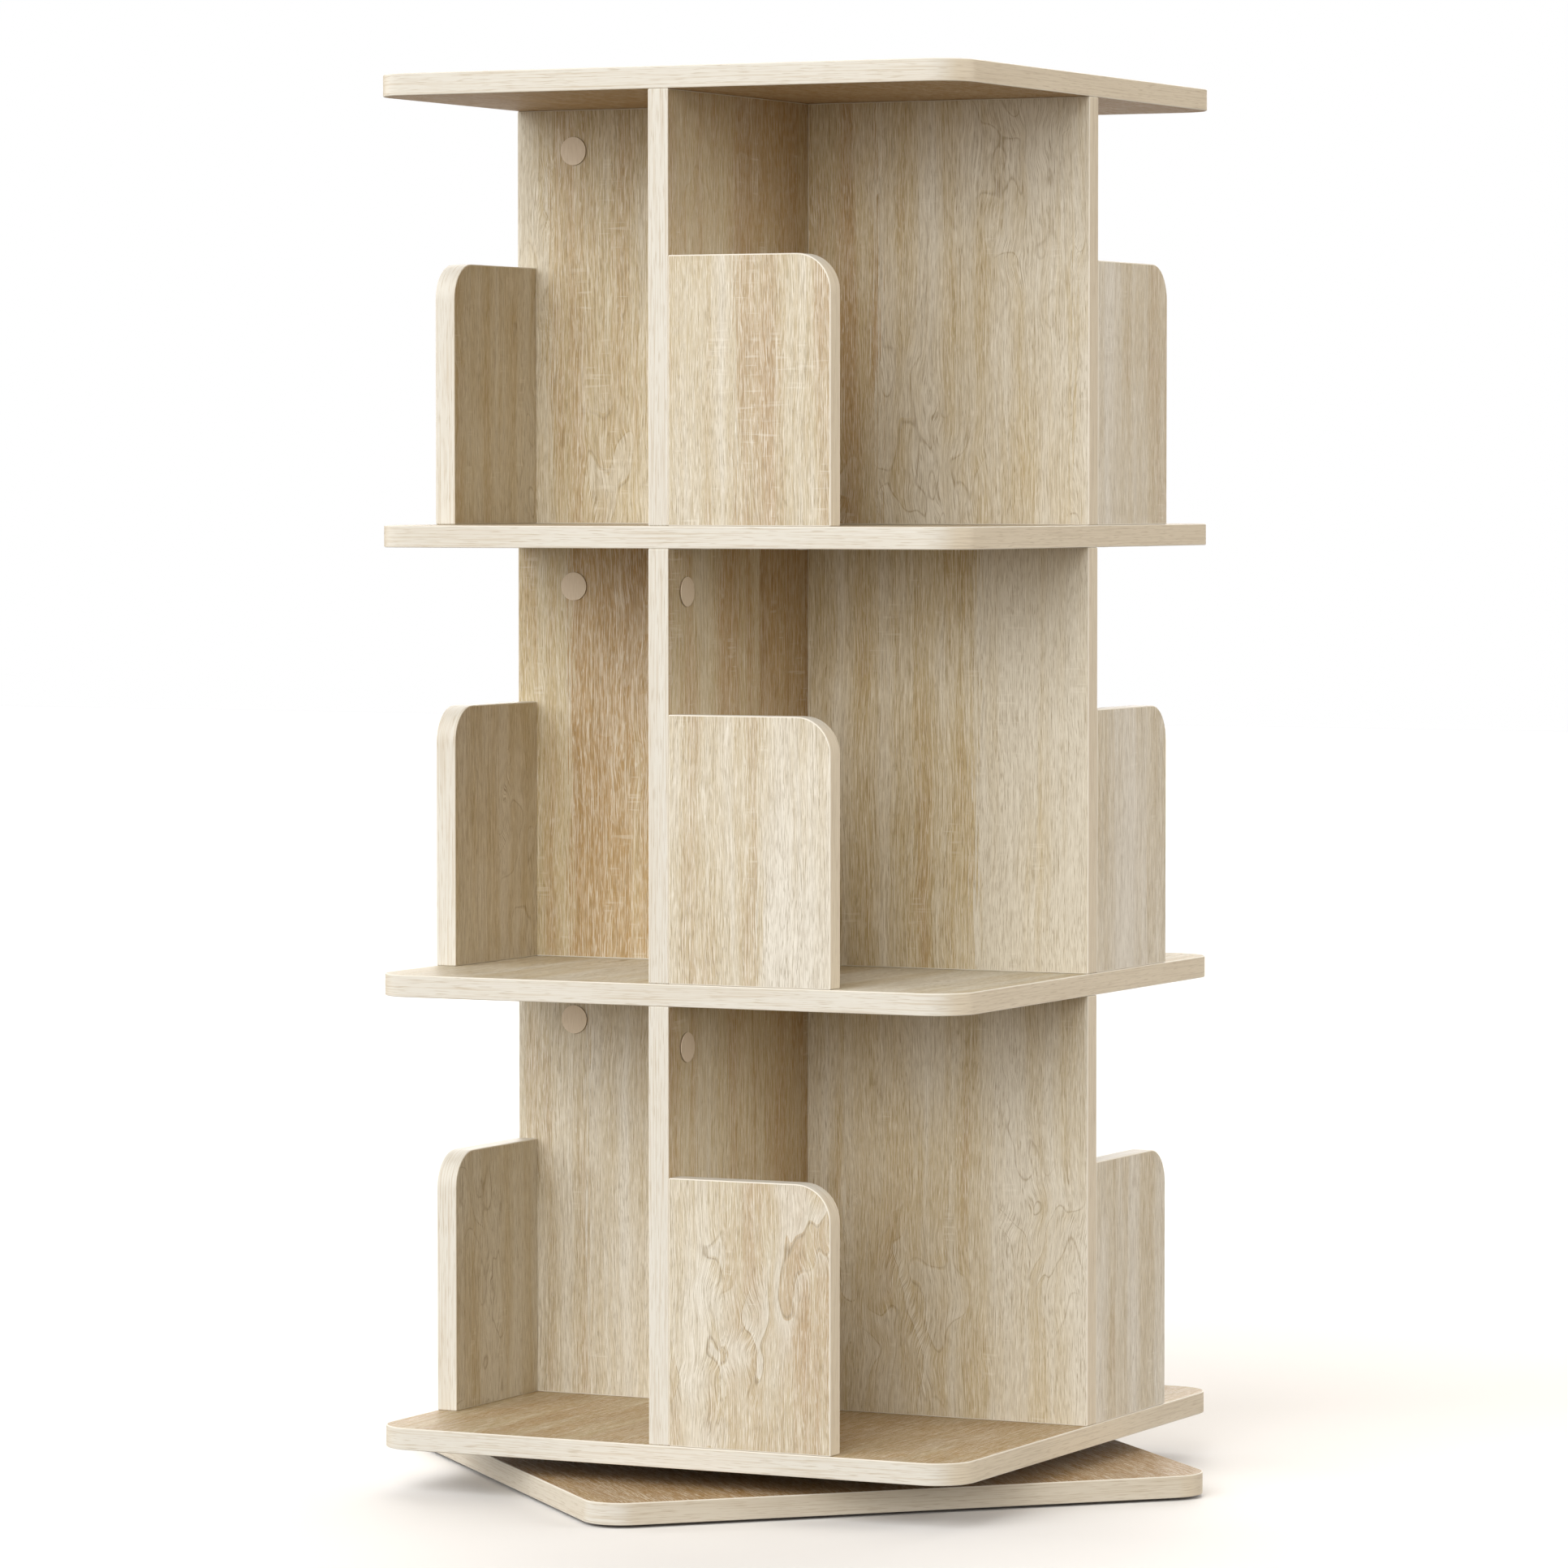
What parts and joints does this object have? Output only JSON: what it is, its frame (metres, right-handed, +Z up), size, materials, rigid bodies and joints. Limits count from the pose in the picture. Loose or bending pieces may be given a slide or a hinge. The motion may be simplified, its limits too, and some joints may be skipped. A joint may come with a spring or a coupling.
{
  "type": "revolving bookcase",
  "caption": "Square open-sided bookcase tower with cross-shaped uprights and low book stops on each tier, turning on a square base of the same size.",
  "frame": {"origin": "on the floor, under the turning axis at the middle of the base", "axes": "+Z up along the turning axis; the tower's front faces -Y and its right side +X; at rest the base stands turned 45 degrees under the tower"},
  "size_m": [0.5998, 0.5998, 0.9655],
  "materials": {
    "oak_laminate": "matt oak laminate",
    "cap_foil": "matt printed foil",
    "zinc_alloy": "die-cast",
    "pressed_steel": "zinc plated",
    "rivet_steel": "bright",
    "nylon": "satin",
    "felt": "felt"
  },
  "bodies": {
    "base": {"base_board": "oak_laminate", "foot_pads": "felt", "turntable_lower_plate": "pressed_steel", "turntable_rivet": "rivet_steel"},
    "tower": {"turntable_upper_plate": "pressed_steel", "bottom_board": "oak_laminate", "lower_shelf": "oak_laminate", "upper_shelf": "oak_laminate", "top_board": "oak_laminate", "lower_spine_panel": "oak_laminate", "lower_right_wing_panel": "oak_laminate", "lower_left_wing_panel": "oak_laminate", "middle_spine_panel": "oak_laminate", "middle_right_wing_panel": "oak_laminate", "middle_left_wing_panel": "oak_laminate", "upper_spine_panel": "oak_laminate", "upper_right_wing_panel": "oak_laminate", "upper_left_wing_panel": "oak_laminate", "lower_front_stop": "oak_laminate", "lower_right_stop": "oak_laminate", "lower_back_stop": "oak_laminate", "lower_left_stop": "oak_laminate", "middle_front_stop": "oak_laminate", "middle_right_stop": "oak_laminate", "middle_back_stop": "oak_laminate", "middle_left_stop": "oak_laminate", "upper_front_stop": "oak_laminate", "upper_right_stop": "oak_laminate", "upper_back_stop": "oak_laminate", "upper_left_stop": "oak_laminate", "lower_cam_locks": "zinc_alloy", "middle_cam_locks": "zinc_alloy", "upper_cam_locks": "zinc_alloy", "lower_cam_caps": "cap_foil", "middle_cam_caps": "cap_foil", "upper_cam_caps": "cap_foil"},
    "ball_ring": {"turntable_ball_ring": "nylon"}
  },
  "joints": [
    {"name": "tower_spin", "type": "hinge", "parent": "base", "child": "tower", "pos_m": [0, 0, 0.0235], "axis": [0, 0, 1], "continuous": true},
    {"name": "ball_ring_spin", "type": "hinge", "parent": "base", "child": "ball_ring", "pos_m": [0, 0, 0.0235], "axis": [0, 0, 1], "continuous": true}
  ],
  "couplings": [
    {"joint": "ball_ring_spin", "follows": "tower_spin", "ratio": 0.5}
  ]
}
